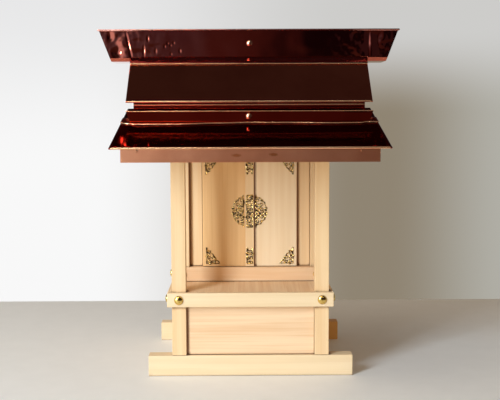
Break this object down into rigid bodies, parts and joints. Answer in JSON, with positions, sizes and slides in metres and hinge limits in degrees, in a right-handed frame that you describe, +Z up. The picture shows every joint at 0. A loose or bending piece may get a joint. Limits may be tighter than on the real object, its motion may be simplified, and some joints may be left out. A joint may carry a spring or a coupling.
{
  "type": "household altar cabinet",
  "caption": "Small timber household shrine cabinet with a porch, a shelf, paired hinged doors with pierced fittings and a double gabled roof under copper sheet.",
  "frame": {"origin": "on the floor, under the middle of the whole cabinet's width and depth", "axes": "+X to the right seen from the front, +Y from the doors to the back, +Z up"},
  "size_m": [0.4344, 0.363, 0.4733],
  "materials": {
    "base_timber": "planed unfinished cypress, satin",
    "post_timber": "planed unfinished cypress, satin",
    "body_timber": "planed unfinished cypress, satin",
    "door_timber": "straight-grained cypress, satin",
    "roof_timber": "planed cypress, satin",
    "roof_copper": "dark polished copper sheet",
    "ridge_copper": "polished copper sheet, slightly dented",
    "copper_edging": "bright copper strip, satin",
    "pierced_brass": "pierced and gilt, bright",
    "stud_brass": "polished dome"
  },
  "bodies": {
    "cabinet": {"base_beam_front": "base_timber", "base_beam_back": "base_timber", "base_sill_left": "base_timber", "base_sill_right": "base_timber", "base_panel_front": "base_timber", "base_panel_left": "base_timber", "base_panel_right": "base_timber", "base_panel_back": "base_timber", "front_post_left": "post_timber", "front_post_right": "post_timber", "corner_post_left": "post_timber", "corner_post_right": "post_timber", "back_post_left": "post_timber", "back_post_right": "post_timber", "shelf_rail_front": "base_timber", "shelf_rail_left": "base_timber", "shelf_rail_right": "base_timber", "shelf_board": "base_timber", "body_rail_front": "body_timber", "body_rail_left": "body_timber", "body_rail_right": "body_timber", "side_wall_left": "body_timber", "side_wall_right": "body_timber", "back_wall": "body_timber", "sanctuary_floor": "body_timber", "door_jamb_left": "body_timber", "door_jamb_right": "body_timber", "door_head": "body_timber", "shelf_stud_front_left": "stud_brass", "shelf_stud_front_right": "stud_brass", "shelf_stud_side_left": "stud_brass", "shelf_stud_side_right": "stud_brass", "rail_stud_side_left": "stud_brass", "rail_stud_side_right": "stud_brass", "porch_beam": "roof_timber", "porch_ledger": "roof_timber", "porch_roof_board": "roof_timber", "porch_roof_edging": "copper_edging", "porch_roof_sheet": "roof_copper", "porch_cap": "ridge_copper", "main_roof_board_front": "roof_timber", "main_roof_board_back": "roof_timber", "main_roof_sheet_front": "roof_copper", "main_roof_sheet_back": "roof_copper", "ridge_skirt_front": "roof_copper", "ridge_skirt_back": "roof_copper", "ridge_cap": "ridge_copper", "ridge_core": "roof_timber"},
    "left_door": {"door_left": "door_timber", "door_strip": "door_timber", "fitting_corner_left_low": "pierced_brass", "fitting_corner_left_high": "pierced_brass", "fitting_strip_low": "pierced_brass", "fitting_strip_high": "pierced_brass", "fitting_roundel_left": "pierced_brass", "fitting_roundel_strip": "pierced_brass"},
    "right_door": {"door_right": "door_timber", "fitting_corner_right_low": "pierced_brass", "fitting_corner_right_high": "pierced_brass", "fitting_roundel_right": "pierced_brass"}
  },
  "joints": [
    {"name": "left_door_hinge", "type": "hinge", "parent": "cabinet", "child": "left_door", "pos_m": [-0.06495, 0.02328, 0.21405], "axis": [0, 0, 1], "range_deg": [-110, 0]},
    {"name": "right_door_hinge", "type": "hinge", "parent": "cabinet", "child": "right_door", "pos_m": [0.06495, 0.02328, 0.21405], "axis": [0, 0, 1], "range_deg": [0, 110]}
  ],
  "couplings": [
    {"joint": "right_door_hinge", "follows": "left_door_hinge", "ratio": -1}
  ]
}
